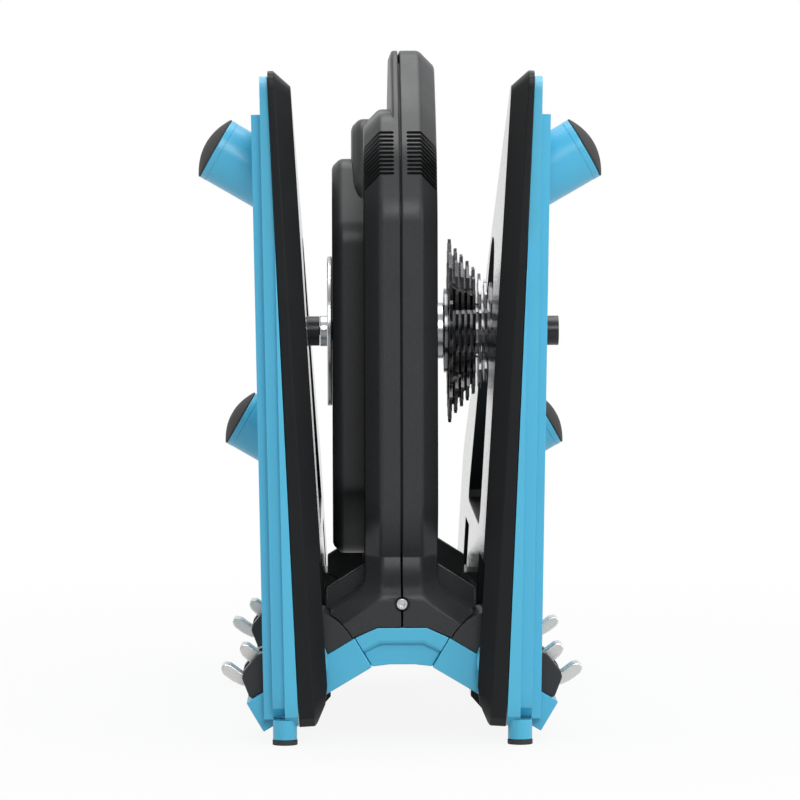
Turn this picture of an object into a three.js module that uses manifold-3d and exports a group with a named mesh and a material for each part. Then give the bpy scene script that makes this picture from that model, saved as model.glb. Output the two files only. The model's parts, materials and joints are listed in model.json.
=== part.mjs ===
// Folding direct drive bike trainer, shown folded: a slim motor housing on a
// low frame, with one hinged leg panel on each side and a cassette on its axle.
// Millimetres, +Z up, +Y towards the front of the bike, +X to its drive side.
import * as THREE from 'three';
import { mergeVertices } from 'three/addons/utils/BufferGeometryUtils.js';
import Module from 'manifold-3d';

const wasm = await Module();
wasm.setup();

// Clearances and cutting allowances
const gap = 0.3;
const running_gap = 1.2;
const overrun = 5;
const weld_gap = 0.0001;

// Overall sizes
const depth = 575;
const leg_base_z = 10;
const leg_height = 399;

// Leg panels: blue frame outside, black cover inside, leaning in at the base
const leg_outer_x = 78.4;
const leg_split_x = 62.8;
const leg_inner_x = 42.9;
const leg_outer_tilt = 1.02;
const leg_split_tilt = 2.61;
const leg_inner_tilt = 3.49;
const leg_step_x = 71;
const leg_step_inset = 5;
const leg_corner = 16;
const cover_bevel = 10;
const leg_outline_shares = [[0, 0], [1, 0], [1, 0.363], [0.056, 1], [0, 1]];
const window_outline_shares = [[0.205, 0.288], [0.67, 0.288], [0.362, 0.742], [0.261, 0.734], [0.205, 0.642]];
const window_corner = 22;
const ridge_width = 26;
const ridge_height = 5.5;
const ridge_y = 13;
const ridge_top_share = 0.93;

// Leg feet: tilted tubes with rubber pads, and small upright stand feet
const foot_radius = 19.8;
const foot_wall = 3;
const foot_tilt = THREE.MathUtils.degToRad(30);
const foot_pad_thickness = 4;
const upper_foot_end = [110.7, 66, 359.7];
const lower_foot_end = [103.5, 430, 177];
const stand_foot_radius = 7.4;
const stand_pad_height = 3;
const stand_foot_x = 71.2;
const stand_foot_inset_y = 10;

// Low frame: bridges front and rear, a spine between, and a sloping arm at each corner
const arm_slope = THREE.MathUtils.degToRad(30.7);
const arm_thickness = 20.6;
const arm_width = 62;
const arm_root_x = 23.4;
const arm_root_z = 54.6;
const arm_length = 77;
const rear_arm_y = 52;
const front_arm_y = 372;
const bridge_low_z = 47;
const bridge_top_z = 69.5;
const bridge_flat = 15;
const spine_width = 13;
const spine_height = 16;

// Hinges: a cross pin through each arm's knuckle and the leg's two lugs
const hinge_x = 58;
const hinge_z = 49;
const hinge_pin_radius = 5;
const knuckle_radius = 14;
const arm_cover_radius = 31;
const lug_width = 10;
const lug_radius = 13;
const notch_side_gap = 1.2;
const notch_height = 100;

// Latches on the arms' outer ends
const latch_x = 82;
const latch_z = 44;
const latch_hub_radius = 4.5;
const latch_lever_width = 20;
const latch_tab_thickness = 5.5;
const latch_tab_reach = 25;
const latch_tab_spacing = 12;
const latch_pin_radius = 2;
const latch_tab_angle = 33;
const latch_rise = 21;
const latch_overhang = 4;

// Motor housing, split down the middle
const seam_half_gap = 0.6;
const housing_half_width = 22.5;
const housing_bevel = 10;
const housing_rear_y = 25;
const housing_depth = 350;
const housing_low_z = 72;
const housing_height = 351;
const right_outline_shares = [[0.055, 0], [0.945, 0], [0.945, 0.1], [1, 0.2], [1, 0.72], [0.88, 0.92],
  [0.68, 1], [0.3, 1], [0.15, 0.9], [0.055, 0.82], [0, 0.72], [0, 0.19], [0.055, 0.1]];
const left_outline_shares = [[0.055, 0], [0.945, 0], [0.945, 0.1], [1, 0.2], [1, 0.72], [0.88, 0.82],
  [0.68, 0.88], [0.3, 0.88], [0.15, 0.86], [0.055, 0.82], [0, 0.72], [0, 0.19], [0.055, 0.1]];
const fin_width = 7;
const fin_outline_shares = [[0.2, 0.8], [0.8, 0.8], [0.68, 1], [0.3, 1], [0.17, 0.92]];
const lobe_face_x = 42;
const lobe_rear_y = 70;
const lobe_depth = 262;
const lobe_low_z = 108;
const lobe_height = 247;
const lobe_bevel = 8;
const lobe_outline_shares = [[0.16, 0], [0.84, 0], [1, 0.18], [1, 0.82], [0.84, 1], [0.16, 1], [0, 0.82], [0, 0.18]];
const housing_wall = 3;
const vent_count = 11;
const vent_pitch = 2.7;
const vent_slot = 1.3;
const vent_cut = 4;
const vent_low_z = 342;
const vent_inner_x = 3.5;

// Skirt of each housing half over the bridges
const skirt_neck_z = 108;
const skirt_shoulder_x = 24;
const skirt_shoulder_z = 88;

// Axle line and what turns on it
const axle_y = 200;
const axle_z = 245;
const axle_radius = 6;
const axle_bore_radius = 3;
const axle_left_x = -50;
const axle_right_x = 80;
const skewer_radius = 2.5;
const nut_radius = 9.5;
const left_nut_length = 11;
const right_nut_length = 23;
const hub_disc_radius = 48;
const hub_disc_thickness = 3;
const rotor_radius = 100;
const rotor_rim = 7;
const magnet_thickness = 6;
const rotor_left_x = -37;
const rotor_right_x = -8;
const rotor_web = 4;
const hub_sleeve_radius = 18;
const hub_sleeve_end_x = 29;
const bearing_outer_radius = 14;
const bearing_width = 8;
const stator_teeth = 12;
const stator_root_radius = 66;
const stator_tooth_width = 13;
const cavity_clearance = 3;

// Cassette: eleven sprockets on a splined freehub body
const chain_pitch = 12.7;
const roller_radius = 3.9;
const cog_thickness = 1.8;
const cog_pitch = 3.8;
const cassette_x = 32.3;
const carrier_cog_teeth = [28, 25, 23, 21, 19];
const loose_cog_teeth = [17, 15, 14, 13, 12, 11];
const freehub_radius = 16.5;
const spline_count = 9;
const spline_width = 4;
const spline_height = 1.1;
const spacer_radius = 20;
const carrier_radius = 27;
const carrier_arms = 5;
const lockring_radius = 18;
const lockring_thickness = 4;

// Small pieces
const screw_radius = 3.4;
const screw_recess_radius = 4.6;
const screw_head = 2.5;
const screw_z = 84;
const board_length = 90;
const board_height = 26;
const board_thickness = 1.6;
const board_low_z = 114;
const inlet_size = 14;
const inlet_depth = 16;
const inlet_z = 150;
const inlet_bore_radius = 3.2;
const round_sides = 18;
const foot_sides = 24;
const knuckle_steps = 20;

const leg_blue = 0x49b1dc;
const paints = {
  blue: new THREE.MeshStandardMaterial({ color: leg_blue, roughness: 0.42, metalness: 0.1 }),
  black: new THREE.MeshStandardMaterial({ color: 0x26282b, roughness: 0.6, metalness: 0 }),
  gloss: new THREE.MeshStandardMaterial({ color: 0x151617, roughness: 0.25, metalness: 0 }),
  rubber: new THREE.MeshStandardMaterial({ color: 0x2b2a29, roughness: 0.85, metalness: 0 }),
  steel: new THREE.MeshStandardMaterial({ color: 0x8b8d90, roughness: 0.3, metalness: 1 }),
  dark_steel: new THREE.MeshStandardMaterial({ color: 0x3a3a3c, roughness: 0.35, metalness: 1 }),
  lever: new THREE.MeshStandardMaterial({ color: 0xd9dad6, roughness: 0.35, metalness: 0.2 }),
  copper: new THREE.MeshStandardMaterial({ color: 0xa9643a, roughness: 0.45, metalness: 0.9 }),
  board: new THREE.MeshStandardMaterial({ color: 0x1d5a35, roughness: 0.5, metalness: 0 }),
};

const trainer = new THREE.Group();

// Closed geometry to a solid that can be joined and cut
function solid(geometry) {
  const bare = geometry.clone();
  bare.deleteAttribute('normal');
  bare.deleteAttribute('uv');
  const welded = mergeVertices(bare, weld_gap);
  return new wasm.Manifold(new wasm.Mesh({
    numProp: 3,
    vertProperties: Float32Array.from(welded.attributes.position.array),
    triVerts: Uint32Array.from(welded.index.array),
  }));
}

function geometry_of(body) {
  const mesh = body.getMesh();
  const geometry = new THREE.BufferGeometry();
  const places = Float32Array.from(mesh.vertProperties);
  geometry.setAttribute('position', new THREE.BufferAttribute(places, 3));
  geometry.setIndex(Array.from(mesh.triVerts));
  return geometry;
}

function add(name, body, paint, mirrored = false) {
  const mesh = new THREE.Mesh(geometry_of(body), paints[paint]);
  mesh.name = name;
  mesh.scale.x = mirrored ? -1 : 1;
  trainer.add(mesh);
}

function join(bodies) {
  return bodies.reduce((whole, body) => whole.add(body));
}

function cut(body, tools) {
  return tools.reduce((rest, tool) => rest.subtract(tool), body);
}

// Outlines: shares of a size to points, corners rounded, edges moved inward
function scaled(shares, low_u, low_v, size_u, size_v) {
  return shares.map(([u, v]) => new THREE.Vector2(low_u + u * size_u, low_v + v * size_v));
}

function rounded_shape(points, radius) {
  const shape = new THREE.Shape();
  points.forEach((corner, index) => {
    const before = points[(index + points.length - 1) % points.length];
    const after = points[(index + 1) % points.length];
    const into = before.clone().sub(corner);
    const out = after.clone().sub(corner);
    const reach = Math.min(radius, into.length() / 3, out.length() / 3);
    const start = corner.clone().add(into.setLength(reach));
    const end = corner.clone().add(out.setLength(reach));
    if (index === 0) shape.moveTo(start.x, start.y);
    else shape.lineTo(start.x, start.y);
    shape.quadraticCurveTo(corner.x, corner.y, end.x, end.y);
  });
  shape.closePath();
  return shape;
}

function inset(points, distance) {
  return points.map((corner, index) => {
    const before = points[(index + points.length - 1) % points.length];
    const after = points[(index + 1) % points.length];
    const into = corner.clone().sub(before).normalize();
    const out = after.clone().sub(corner).normalize();
    const normal_in = new THREE.Vector2(-into.y, into.x);
    const normal_out = new THREE.Vector2(-out.y, out.x);
    const miter = normal_in.add(normal_out);
    return corner.clone().add(miter.multiplyScalar(2 * distance / miter.lengthSq()));
  });
}

// Prisms: a (y, z) outline along X, and an (x, z) outline along Y
const along_x = new THREE.Matrix4().makeBasis(
  new THREE.Vector3(0, 1, 0), new THREE.Vector3(0, 0, 1), new THREE.Vector3(1, 0, 0));

function prism_x(shape, low_x, high_x) {
  const geometry = new THREE.ExtrudeGeometry(shape, {
    depth: high_x - low_x, bevelEnabled: false, curveSegments: 3,
  });
  geometry.translate(0, 0, low_x);
  return solid(geometry.applyMatrix4(along_x));
}

// Rings of equally many (y, z) points, each at its own x, skinned and capped
function lofted(rings) {
  const count = rings[0].points.length;
  const places = rings.flatMap(({ points, x }) => points.flatMap(({ x: y, y: z }) => [x, y, z]));
  const faces = [];
  rings.slice(1).forEach((_, ring) => {
    for (let index = 0; index < count; index += 1) {
      const next = (index + 1) % count;
      const [low, low_next] = [ring * count + index, ring * count + next];
      faces.push(low, low_next, low_next + count, low, low_next + count, low + count);
    }
  });
  const top = count * (rings.length - 1);
  for (const [a, b, c] of THREE.ShapeUtils.triangulateShape(rings[0].points, [])) faces.push(c, b, a);
  for (const [a, b, c] of THREE.ShapeUtils.triangulateShape(rings.at(-1).points, [])) {
    faces.push(top + a, top + b, top + c);
  }
  return new wasm.Manifold(new wasm.Mesh({
    numProp: 3, vertProperties: Float32Array.from(places), triVerts: Uint32Array.from(faces),
  }));
}

function rounded_points(points, radius) {
  return rounded_shape(points, radius).getPoints(3).slice(0, -1);
}

function bevelled_x(points, radius, low_x, high_x, bevel) {
  const full = rounded_points(points, radius);
  const narrow = rounded_points(inset(points, bevel), radius);
  return lofted([{ points: narrow, x: low_x }, { points: full, x: low_x + bevel },
    { points: full, x: high_x - bevel }, { points: narrow, x: high_x }]);
}

function prism_y(shape, low_y, high_y, arc_steps = 5) {
  const geometry = new THREE.ExtrudeGeometry(shape, {
    depth: high_y - low_y, bevelEnabled: false, curveSegments: arc_steps,
  });
  geometry.rotateX(Math.PI / 2);
  geometry.translate(0, high_y, 0);
  return solid(geometry);
}

function polygon(pairs) {
  return new THREE.Shape(pairs.map(([u, v]) => new THREE.Vector2(u, v)));
}

function disc_shape(x, z, radius) {
  const shape = new THREE.Shape();
  shape.absarc(x, z, radius, 0, 2 * Math.PI);
  return shape;
}

function block(low, high) {
  const size = high.map((value, index) => value - low[index]);
  const geometry = new THREE.BoxGeometry(...size);
  geometry.translate(...low.map((value, index) => value + size[index] / 2));
  return solid(geometry);
}

// Round bodies about the axle line: (radius, x) profile points turned about X
function turned(profile, sides = round_sides) {
  const points = profile.map(([radius, x]) => new THREE.Vector2(radius, x));
  const geometry = new THREE.LatheGeometry([...points, points[0].clone()], sides);
  geometry.rotateZ(-Math.PI / 2);
  geometry.translate(0, axle_y, axle_z);
  const body = solid(geometry);
  return body;
}

function disc(radius, low_x, high_x, sides = round_sides) {
  return turned([[0, low_x], [radius, low_x], [radius, high_x], [0, high_x]], sides);
}

function tube(outer, inner, low_x, high_x, sides = round_sides) {
  return turned([[inner, low_x], [outer, low_x], [outer, high_x], [inner, high_x]], sides);
}

// Leg panel pieces, drawn on the +X side and mirrored for the other
const leg_points = scaled(leg_outline_shares, 0, leg_base_z, depth, leg_height);
const window_points = scaled(window_outline_shares, 0, leg_base_z, depth, leg_height);
const hinge_arms = [rear_arm_y, front_arm_y];

function tilted(body, x, degrees) {
  return body.translate([-x, 0, -leg_base_z])
    .rotate([0, degrees, 0])
    .translate([x, 0, leg_base_z]);
}

function inner_side(x) {
  const reach = leg_height + depth;
  return tilted(block([x - depth, -overrun, -reach], [x, depth + overrun, reach]), x, leg_split_tilt);
}

function leg_window(margin) {
  return prism_x(rounded_shape(inset(window_points, margin), window_corner), 0, leg_outer_x + depth);
}

function notches(side_room, top_room) {
  return hinge_arms.map((y) => {
    const half = arm_width / 2 + notch_side_gap + side_room;
    return block([0, y - half, -overrun], [depth, y + half, leg_base_z + notch_height + top_room]);
  });
}

function foot_place([x, y, z], along) {
  return [x - along * Math.cos(foot_tilt), y, z - along * Math.sin(foot_tilt)];
}

function foot_cylinder(radius, length, start, end) {
  const geometry = new THREE.CylinderGeometry(radius, radius, length, foot_sides);
  geometry.rotateZ(-Math.PI / 2);
  geometry.rotateY(-foot_tilt);
  geometry.translate(...foot_place(end, start + length / 2));
  return solid(geometry);
}

function upright(radius, low_z, high_z, x, y) {
  const geometry = new THREE.CylinderGeometry(radius, radius, high_z - low_z, round_sides);
  geometry.rotateX(Math.PI / 2);
  geometry.translate(x, y, (low_z + high_z) / 2);
  return solid(geometry);
}

const foot_places = [['rear', upper_foot_end], ['front', lower_foot_end]];
const stand_places = [['rear', stand_foot_inset_y], ['front', depth - stand_foot_inset_y]];

function hinge_lugs() {
  return hinge_arms.flatMap((y) => [-1, 1].map((side) => {
    const near = y + side * (arm_width / 2 + notch_side_gap);
    const far = near + side * lug_width;
    const shape = new THREE.Shape();
    shape.moveTo(leg_step_x, hinge_z + lug_radius);
    shape.lineTo(hinge_x, hinge_z + lug_radius);
    shape.absarc(hinge_x, hinge_z, lug_radius, Math.PI / 2, 3 * Math.PI / 2);
    shape.lineTo(leg_step_x, hinge_z - lug_radius);
    shape.closePath();
    return prism_y(shape, Math.min(near, far), Math.max(near, far));
  }));
}

function hinge_bores(radius) {
  return hinge_arms.map((y) => prism_y(disc_shape(hinge_x, hinge_z, radius), y - arm_width, y + arm_width));
}

function leg_frame() {
  const base = prism_x(rounded_shape(leg_points, leg_corner), leg_inner_x, leg_step_x);
  const step_points = inset(leg_points, leg_step_inset);
  const step = prism_x(rounded_shape(step_points, leg_corner), leg_step_x - gap, leg_outer_x);
  const ridge_top = leg_base_z + leg_height * ridge_top_share;
  const ridge = block([leg_outer_x - gap, ridge_y, leg_base_z + leg_step_inset],
    [leg_outer_x + ridge_height, ridge_y + ridge_width, ridge_top]);

  const feet = foot_places.map(([, end]) => foot_cylinder(foot_radius, leg_outer_x, 0, end));
  const outer_half = block([leg_split_x, 0, 0], [depth, depth, leg_base_z + leg_height]);
  const stand_feet = stand_places.map(([, y]) => upright(
    stand_foot_radius, stand_pad_height + gap, leg_base_z + leg_step_inset, stand_foot_x, y));
  const foot_bores = foot_places.map(([, end]) => foot_cylinder(
    foot_radius - foot_wall, foot_radius, -overrun, end));
  const panel = tilted(join([base, step, ridge]), leg_outer_x, leg_outer_tilt);
  const shaped = cut(join([panel, ...feet.map((foot) => foot.intersect(outer_half))]),
    [inner_side(leg_split_x), leg_window(0), ...notches(0, 0)]);
  return cut(join([shaped, ...hinge_lugs(), ...stand_feet]), [...hinge_bores(hinge_pin_radius + gap), ...foot_bores]);
}

function leg_cover() {
  const cover = bevelled_x(inset(leg_points, gap), leg_corner,
    leg_inner_x, leg_outer_x + leg_split_x, cover_bevel);
  const leaning = tilted(cover, leg_inner_x, leg_inner_tilt);
  const inside = leaning.intersect(inner_side(leg_split_x - gap));
  return cut(inside, [leg_window(-gap), ...notches(lug_width + gap, gap)]);
}

function foot_pad(end) {
  const pad_start = -gap - foot_pad_thickness;
  const plug_radius = foot_radius - foot_wall - gap;
  const pad = foot_cylinder(foot_radius, foot_pad_thickness, pad_start, end);
  return pad.add(foot_cylinder(plug_radius, foot_pad_thickness + gap, -gap - gap, end));
}

for (const side of ['left', 'right']) {
  const mirrored = side === 'left';
  add(`${side}_leg_frame`, leg_frame(), 'blue', mirrored);
  add(`${side}_leg_cover`, leg_cover(), 'black', mirrored);
  for (const [end, place] of foot_places) {
    add(`${side}_${end}_foot_pad`, foot_pad(place), 'rubber', mirrored);
  }
  for (const [end, y] of stand_places) {
    const pad = upright(stand_foot_radius + gap, 0, stand_pad_height, stand_foot_x, y);
    add(`${side}_${end}_stand_pad`, pad, 'rubber', mirrored);
  }
}

// Low frame: arms drawn along their own slope from the bridge's end face
function arm_point(along, above) {
  const across = [Math.cos(arm_slope), -Math.sin(arm_slope)];
  const normal = [Math.sin(arm_slope), Math.cos(arm_slope)];
  return [arm_root_x + along * across[0] + above * normal[0],
    arm_root_z + along * across[1] + above * normal[1]];
}

function arm_along(x, above) {
  const [start_x] = arm_point(0, above);
  return (x - start_x) / Math.cos(arm_slope);
}

const half_thickness = arm_thickness / 2;

function arm(y) {
  const low_y = y - arm_width / 2;
  const high_y = y + arm_width / 2;
  const beam = polygon([arm_point(gap, -half_thickness), arm_point(arm_length, -half_thickness),
    arm_point(arm_length, half_thickness), arm_point(gap, half_thickness)]);
  const knuckle = disc_shape(hinge_x, hinge_z, knuckle_radius);
  const body = prism_y(beam, low_y, high_y).add(prism_y(knuckle, low_y, high_y));
  return cut(body, hinge_bores(hinge_pin_radius + gap));
}

function above_arm(reach_above) {
  const left = arm_along(0, half_thickness);
  return [arm_point(left, half_thickness + gap), arm_point(arm_length, half_thickness + gap),
    arm_point(arm_length, half_thickness + reach_above), arm_point(left, half_thickness + reach_above)];
}

const latch_split_x = hinge_x + knuckle_radius / 2;

function arm_cover(y) {
  const low_y = y - arm_width / 2 + gap;
  const high_y = y + arm_width / 2 - gap;
  const round = prism_y(disc_shape(hinge_x, hinge_z, arm_cover_radius), low_y, high_y, knuckle_steps);
  const over = prism_y(polygon(above_arm(2 * arm_cover_radius)), low_y, high_y);
  const inner = block([0, low_y, 0], [latch_split_x - gap, high_y, axle_z]);
  const boss = prism_y(disc_shape(hinge_x, hinge_z, knuckle_radius + gap), low_y - gap, high_y + gap);
  return cut(round.intersect(over).intersect(inner), [boss]);
}

function latch_pin(y, radius, length) {
  return prism_y(disc_shape(latch_x, latch_z, radius), y - length / 2, y + length / 2);
}

const latch_block_width = arm_width - 2 * latch_tab_thickness;

function latch_block(y) {
  const start = arm_along(latch_split_x, half_thickness);
  const profile = polygon([arm_point(start, half_thickness + gap),
    arm_point(arm_length - latch_overhang, half_thickness + gap),
    arm_point(arm_length + latch_overhang, latch_rise),
    arm_point(arm_length + latch_overhang / 2, half_thickness + latch_rise - latch_overhang),
    arm_point(start + latch_rise / 2, half_thickness + latch_rise)]);
  const low_y = y - latch_block_width / 2;
  const high_y = y + latch_block_width / 2;
  const boss = prism_y(disc_shape(hinge_x, hinge_z, knuckle_radius + gap), low_y - gap, high_y + gap);
  const cover_side = block([0, low_y - gap, 0], [latch_split_x, high_y + gap, axle_z]);
  const mouth = block([latch_x - latch_tab_spacing - running_gap, y - latch_lever_width / 2 - running_gap, 0],
    [depth, y + latch_lever_width / 2 + running_gap, axle_z]);
  return cut(prism_y(profile, low_y, high_y),
    [boss, cover_side, mouth, latch_pin(y, latch_pin_radius + gap, latch_block_width + overrun)]);
}

// Lever: a hub on its pin, a web up from it, and two finger tabs that point outward
function tab_place(distance, offset) {
  const pointing = THREE.MathUtils.degToRad(latch_tab_angle);
  return new THREE.Vector2(
    latch_x + distance * Math.cos(pointing) - offset * Math.sin(pointing),
    latch_z + distance * Math.sin(pointing) + offset * Math.cos(pointing));
}

function tab(rise, start, reach) {
  const half = latch_tab_thickness / 2;
  return rounded_shape([tab_place(start, rise - half), tab_place(reach, rise - half),
    tab_place(reach, rise + half), tab_place(start, rise + half)], half);
}

function latch_lever(y) {
  const low_y = y - latch_lever_width / 2;
  const high_y = y + latch_lever_width / 2;
  const hub = prism_y(disc_shape(latch_x, latch_z, latch_hub_radius), low_y, high_y);
  const lower = prism_y(tab(0, 0, latch_tab_reach), low_y, high_y);
  const upper_start = latch_hub_radius;
  const upper = prism_y(tab(latch_tab_spacing, upper_start, latch_tab_reach - latch_tab_thickness), low_y, high_y);
  const web_shape = new THREE.Shape([tab_place(latch_hub_radius / 2, 0), tab_place(3 * latch_hub_radius, 0),
    tab_place(3 * latch_hub_radius, latch_tab_spacing), tab_place(upper_start + latch_pin_radius, latch_tab_spacing)]);
  const web = prism_y(web_shape, y - latch_tab_thickness / 2, y + latch_tab_thickness / 2);
  return join([hub, lower, upper, web, latch_pin(y, latch_pin_radius, latch_block_width)]);
}

function hinge_pin(y) {
  const length = arm_width + 2 * (notch_side_gap + lug_width) - 2 * gap;
  return prism_y(disc_shape(hinge_x, hinge_z, hinge_pin_radius), y - length / 2, y + length / 2);
}

for (const side of ['left', 'right']) {
  const mirrored = side === 'left';
  for (const [end, y] of [['rear', rear_arm_y], ['front', front_arm_y]]) {
    add(`${side}_${end}_arm`, arm(y), 'blue', mirrored);
    add(`${side}_${end}_arm_cover`, arm_cover(y), 'black', mirrored);
    add(`${side}_${end}_hinge_pin`, hinge_pin(y), 'steel', mirrored);
    add(`${side}_${end}_latch_block`, latch_block(y), 'black', mirrored);
    add(`${side}_${end}_latch_lever`, latch_lever(y), 'lever', mirrored);
  }
}

function mirrored_outline(right_half) {
  const left_half = right_half.map(([x, z]) => [-x, z]).reverse();
  return polygon([...right_half, ...left_half]);
}

function base_frame() {
  const low_corner = arm_point(0, -half_thickness);
  const high_corner = arm_point(0, half_thickness);
  const outline = mirrored_outline([[bridge_flat / 2, bridge_low_z], low_corner, high_corner,
    [bridge_flat, bridge_top_z]]);
  const bridges = hinge_arms.map((y) => prism_y(outline, y - arm_width / 2, y + arm_width / 2));
  const spine = block([-spine_width / 2, rear_arm_y, bridge_low_z],
    [spine_width / 2, front_arm_y, bridge_low_z + spine_height]);
  return join([...bridges, spine]);
}

add('base_frame', base_frame(), 'blue');

// Housing halves
const rotor_room = rotor_radius + cavity_clearance;

function skirt(y) {
  const end_top = arm_point(0, half_thickness);
  const knuckle_side = hinge_x - arm_cover_radius;
  const outline = polygon([[seam_half_gap, bridge_top_z + gap + gap],
    [bridge_flat, bridge_top_z + gap + gap], [end_top[0], end_top[1] + gap + gap],
    [knuckle_side + arm_cover_radius, end_top[1] - arm_thickness / 2],
    [skirt_shoulder_x + arm_thickness / 2, skirt_shoulder_z - arm_thickness / 3],
    [skirt_shoulder_x, skirt_shoulder_z], [housing_half_width, skirt_neck_z],
    [seam_half_gap, skirt_neck_z]]);
  const low_y = y - arm_width / 2 + gap;
  const high_y = y + arm_width / 2 - gap;
  const keep_clear = prism_y(disc_shape(hinge_x, hinge_z, arm_cover_radius + 2 * gap), low_y - gap, high_y + gap,
    knuckle_steps);
  const arm_top = prism_y(polygon([arm_point(0, -2 * arm_thickness), arm_point(arm_length, -2 * arm_thickness),
    arm_point(arm_length, half_thickness + gap), arm_point(0, half_thickness + gap)]), low_y - gap, high_y + gap);
  return cut(prism_y(outline, low_y, high_y), [keep_clear, arm_top]);
}

function vent_slots() {
  return Array.from({ length: vent_count }, (_, index) => {
    const low_z = vent_low_z + index * vent_pitch;
    const deep_y = housing_rear_y + housing_depth * right_outline_shares[9][0];
    const outer = housing_half_width + overrun;
    const profile = polygon([[vent_inner_x, -depth], [outer, -depth], [outer, deep_y + housing_bevel + vent_cut],
      [vent_inner_x, deep_y + vent_cut]]);
    const geometry = new THREE.ExtrudeGeometry(profile, { depth: vent_slot, bevelEnabled: false });
    geometry.translate(0, 0, low_z);
    return solid(geometry);
  });
}

function screw_recess(y) {
  return prism_y(disc_shape(0, screw_z, screw_recess_radius), y - screw_head - gap, y + screw_head + gap);
}

const rear_screw_y = rear_arm_y - arm_width / 2;
const front_screw_y = front_arm_y + arm_width / 2;

function half_shell(outline_shares) {
  const points = scaled(outline_shares, housing_rear_y, housing_low_z, housing_depth, housing_height);
  const shell = bevelled_x(points, leg_corner / 2, -housing_half_width, housing_half_width, housing_bevel);
  return shell.intersect(block([seam_half_gap, 0, 0], [depth, depth, depth]));
}

const sleeve_bore = hub_sleeve_radius + running_gap;

function right_housing() {
  const body = join([half_shell(right_outline_shares), ...hinge_arms.map(skirt)]);
  return cut(body, [tube(rotor_room, axle_radius / 2, -overrun, housing_half_width / 3),
    disc(sleeve_bore, -overrun, depth), disc(rotor_room, -overrun, housing_half_width / 3),
    ...vent_slots(), screw_recess(rear_screw_y), screw_recess(front_screw_y)]);
}

function flipped(body) {
  const mesh = body.getMesh();
  const places = Float32Array.from(mesh.vertProperties);
  for (let index = 0; index < places.length; index += 3) places[index] = -places[index];
  const faces = Uint32Array.from(mesh.triVerts);
  for (let index = 0; index < faces.length; index += 3) {
    [faces[index], faces[index + 1]] = [faces[index + 1], faces[index]];
  }
  return new wasm.Manifold(new wasm.Mesh({ numProp: 3, vertProperties: places, triVerts: faces }));
}

function left_housing() {
  const column = flipped(join([half_shell(left_outline_shares), ...hinge_arms.map(skirt)]));
  const fin_points = scaled(fin_outline_shares, housing_rear_y, housing_low_z, housing_depth, housing_height);
  const fin = prism_x(rounded_shape(fin_points, leg_corner / 2), -fin_width, -seam_half_gap);
  const lobe_points = scaled(lobe_outline_shares, lobe_rear_y, lobe_low_z, lobe_depth, lobe_height);
  const lobe = bevelled_x(lobe_points, leg_corner, -lobe_face_x, 0, lobe_bevel)
    .intersect(block([-depth, 0, 0], [-seam_half_gap, depth, depth]));
  const slots = vent_slots().map(flipped);
  const board_room = block([rotor_left_x, axle_y - board_length / 2 - gap, board_low_z],
    [0, axle_y + board_length / 2 + gap, board_low_z + board_height + gap]);
  const inlet_room = inlet_block(gap);
  return cut(join([column, fin, lobe]), [disc(rotor_room, -lobe_face_x + housing_wall, 0),
    disc(nut_radius + gap, -depth, 0), ...slots, board_room, inlet_room,
    screw_recess(rear_screw_y), screw_recess(front_screw_y)]);
}

function inlet_block(room) {
  const face_y = housing_rear_y + housing_depth;
  const middle_x = -housing_half_width / 2;
  return block([middle_x - inlet_size / 2 - room, face_y - inlet_depth - room, inlet_z - room],
    [middle_x + inlet_size / 2 + room, face_y + room, inlet_z + inlet_size + room]);
}

function power_inlet() {
  const bore = prism_y(disc_shape(-housing_half_width / 2, inlet_z + inlet_size / 2, inlet_bore_radius),
    housing_rear_y + housing_depth - inlet_depth / 2, depth);
  return inlet_block(0).subtract(bore);
}

function cover_screw(y, outward) {
  const recess_floor = y - outward * (screw_head + gap);
  const head_low = Math.min(recess_floor, recess_floor + outward * screw_head) + Math.max(0, outward) * gap;
  const head = prism_y(disc_shape(0, screw_z, screw_radius), head_low, head_low + screw_head - gap);
  const socket_shape = polygon(Array.from({ length: 6 }, (_, index) => [
    screw_radius / 2 * Math.cos(index * Math.PI / 3), screw_z + screw_radius / 2 * Math.sin(index * Math.PI / 3)]));
  const middle = head_low + (screw_head - gap) / 2;
  const socket = outward < 0 ? [middle - screw_head, middle] : [middle, middle + screw_head];
  return head.subtract(prism_y(socket_shape, ...socket));
}

add('left_housing', left_housing(), 'black');
add('right_housing', right_housing(), 'black');
add('rear_cover_screw', cover_screw(rear_screw_y, -1), 'steel');
add('front_cover_screw', cover_screw(front_screw_y, 1), 'steel');
add('power_inlet', power_inlet(), 'gloss');

const board = block([-housing_half_width / 2 - board_thickness, axle_y - board_length / 2, board_low_z + gap],
  [-housing_half_width / 2, axle_y + board_length / 2, board_low_z + board_height]);
add('control_board', board, 'board');

// Axle, its bearings and nuts
add('axle', tube(axle_radius, axle_bore_radius, axle_left_x, axle_right_x), 'dark_steel');
const left_nut_end = axle_left_x - gap - left_nut_length;
const right_nut_end = axle_right_x + gap + right_nut_length;
const skewer_end = axle_right_x + gap + right_nut_length / 2;
add('skewer', disc(nut_radius, left_nut_end, axle_left_x - gap)
  .add(disc(skewer_radius, left_nut_end + gap, skewer_end)), 'gloss');
add('skewer_nut', cut(disc(nut_radius, axle_right_x + gap, right_nut_end),
  [disc(skewer_radius + gap, axle_right_x, skewer_end + gap)]), 'gloss');
const hub_disc_x = -lobe_face_x - gap;
add('left_hub_disc', tube(hub_disc_radius, axle_radius + gap, hub_disc_x - hub_disc_thickness, hub_disc_x)
  .add(tube(nut_radius + gap, axle_radius + gap, axle_left_x, hub_disc_x - gap)), 'steel');

const inner_bearing_x = rotor_right_x + rotor_web + gap;
const outer_bearing_x = hub_sleeve_end_x - bearing_width;

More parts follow.
